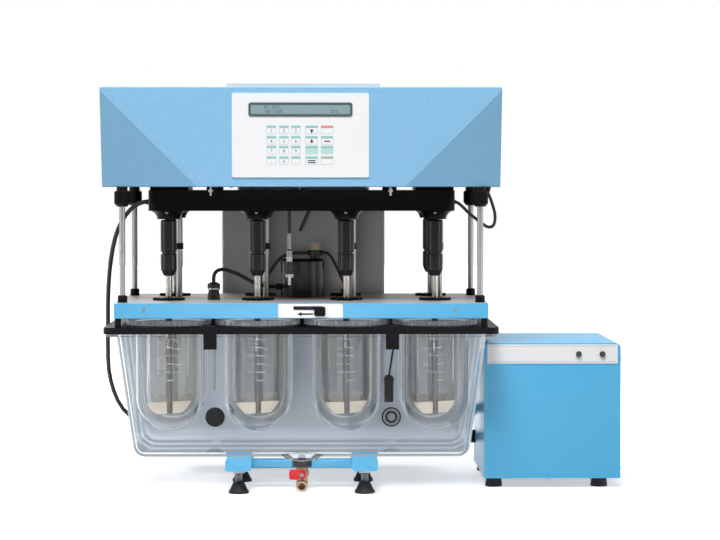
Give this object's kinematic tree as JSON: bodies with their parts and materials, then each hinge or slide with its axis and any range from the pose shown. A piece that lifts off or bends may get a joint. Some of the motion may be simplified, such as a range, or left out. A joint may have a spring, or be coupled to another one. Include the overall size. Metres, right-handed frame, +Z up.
{
  "type": "dissolution tester",
  "caption": "Paddle dissolution tester: lifting drive head and lid tray over glass vessels in a clear water bath, with drop lever, drain tap and a separate bath heater joined by hoses.",
  "frame": {"origin": "middle of the rigid object's box, on the bench", "axes": "+X to the heater at the right, +Y to the back, +Z up"},
  "size_m": [0.8175, 0.442, 0.642],
  "materials": {
    "head_paint": "fine textured light blue paint",
    "blue_paint": "smooth sky blue paint",
    "grey_paint": "satin grey paint",
    "black_metal": "black anodised",
    "black_plastic": "moulded, satin",
    "black_rubber": "matt rubber and cable sheath",
    "clear_plastic": "clear, faintly smoky",
    "vessel_glass": "clear borosilicate glass",
    "steel": "ground stainless steel",
    "aluminium": "brushed",
    "motor_casing": "dark cast",
    "white_plastic": "white, satin",
    "display": "grey-green liquid crystal under a clear window",
    "brass": "plain turned brass",
    "red_plastic": "red moulded handle",
    "lamp": "dark lamp lens in a black bezel"
  },
  "bodies": {
    "root": {"base_frame": "blue_paint", "rubber_feet": "black_rubber", "column": "grey_paint", "lift_motor": "motor_casing", "water_tank": "clear_plastic", "tank_rim": "black_plastic", "vessel_plate": "black_plastic", "vessel_rings": "black_plastic", "front_vessels": "vessel_glass", "rear_vessels": "vessel_glass", "rim_clips": "black_plastic", "level_sensor": "black_plastic", "hose_fittings": "black_plastic", "water_hoses": "black_rubber", "drain_valve": "brass", "heater_case": "blue_paint", "heater_panel": "white_plastic", "heater_lamps": "lamp"},
    "head": {"head_cover": "head_paint", "head_base": "aluminium", "belt_housing": "black_metal", "spindle_bearings": "steel", "drive_motor": "motor_casing", "timing_belt": "black_rubber", "keypad_panel": "white_plastic", "display": "display", "lift_mast": "aluminium", "rear_cover": "grey_paint", "guide_rods": "steel", "rod_fittings": "black_plastic", "lid_tray": "aluminium", "tray_fascia": "blue_paint", "lever_plate": "white_plastic", "shaft_covers": "black_plastic", "sensor_pod": "black_plastic", "bath_sensor": "steel", "temperature_probe": "steel", "lift_lead": "black_rubber", "loop_lead": "black_rubber", "probe_leads": "black_rubber"},
    "screw": {"lead_screw": "steel"},
    "rotor": {"motor_pulley": "steel"},
    "shutter": {"drop_shutter": "black_plastic"},
    "tap": {"drain_handle": "red_plastic"},
    "spindle_1": {"spindle_1": "black_metal", "paddle_1": "steel"},
    "spindle_2": {"spindle_2": "black_metal", "paddle_2": "steel"},
    "spindle_3": {"spindle_3": "black_metal", "paddle_3": "steel"},
    "spindle_4": {"spindle_4": "black_metal", "paddle_4": "steel"},
    "spindle_5": {"spindle_5": "black_metal", "paddle_5": "steel"},
    "spindle_6": {"spindle_6": "black_metal", "paddle_6": "steel"},
    "spindle_7": {"spindle_7": "black_metal", "paddle_7": "steel"},
    "spindle_8": {"spindle_8": "black_metal", "paddle_8": "steel"}
  },
  "joints": [
    {"name": "head_lift", "type": "slide", "parent": "root", "child": "head", "axis": [0, 0, 1], "range_m": [0, 0.2], "deforming": ["lift_lead"]},
    {"name": "screw_spin", "type": "hinge", "parent": "root", "child": "screw", "pos_m": [-0.09725, 0.1795, 0.108], "axis": [0, 0, 1], "range_deg": [0, 3600]},
    {"name": "motor_spin", "type": "hinge", "parent": "head", "child": "rotor", "pos_m": [-0.09725, 0.046, 0.445], "axis": [0, 0, 1], "continuous": true},
    {"name": "drop_slide", "type": "slide", "parent": "head", "child": "shutter", "axis": [-1, 0, 0], "range_m": [0, 0.03]},
    {"name": "drain_turn", "type": "hinge", "parent": "root", "child": "tap", "pos_m": [-0.09725, -0.144, 0.027], "axis": [0, 1, 0], "range_deg": [0, 90]},
    {"name": "spindle_1_spin", "type": "hinge", "parent": "head", "child": "spindle_1", "pos_m": [-0.30425, -0.109, 0.42], "axis": [0, 0, 1], "continuous": true},
    {"name": "spindle_2_spin", "type": "hinge", "parent": "head", "child": "spindle_2", "pos_m": [-0.16625, -0.109, 0.42], "axis": [0, 0, 1], "continuous": true},
    {"name": "spindle_3_spin", "type": "hinge", "parent": "head", "child": "spindle_3", "pos_m": [-0.02825, -0.109, 0.42], "axis": [0, 0, 1], "continuous": true},
    {"name": "spindle_4_spin", "type": "hinge", "parent": "head", "child": "spindle_4", "pos_m": [0.10975, -0.109, 0.42], "axis": [0, 0, 1], "continuous": true},
    {"name": "spindle_5_spin", "type": "hinge", "parent": "head", "child": "spindle_5", "pos_m": [-0.30425, 0.041, 0.42], "axis": [0, 0, 1], "continuous": true},
    {"name": "spindle_6_spin", "type": "hinge", "parent": "head", "child": "spindle_6", "pos_m": [-0.16625, 0.041, 0.42], "axis": [0, 0, 1], "continuous": true},
    {"name": "spindle_7_spin", "type": "hinge", "parent": "head", "child": "spindle_7", "pos_m": [-0.02825, 0.041, 0.42], "axis": [0, 0, 1], "continuous": true},
    {"name": "spindle_8_spin", "type": "hinge", "parent": "head", "child": "spindle_8", "pos_m": [0.10975, 0.041, 0.42], "axis": [0, 0, 1], "continuous": true}
  ],
  "couplings": [
    {"joint": "screw_spin", "follows": "head_lift", "rad_per_m": 314.16},
    {"joint": "spindle_2_spin", "follows": "spindle_1_spin", "ratio": 1},
    {"joint": "spindle_3_spin", "follows": "spindle_1_spin", "ratio": 1},
    {"joint": "spindle_4_spin", "follows": "spindle_1_spin", "ratio": 1},
    {"joint": "spindle_5_spin", "follows": "spindle_1_spin", "ratio": 1},
    {"joint": "spindle_6_spin", "follows": "spindle_1_spin", "ratio": 1},
    {"joint": "spindle_7_spin", "follows": "spindle_1_spin", "ratio": 1},
    {"joint": "spindle_8_spin", "follows": "spindle_1_spin", "ratio": 1},
    {"joint": "motor_spin", "follows": "spindle_1_spin", "ratio": 1.3333}
  ]
}
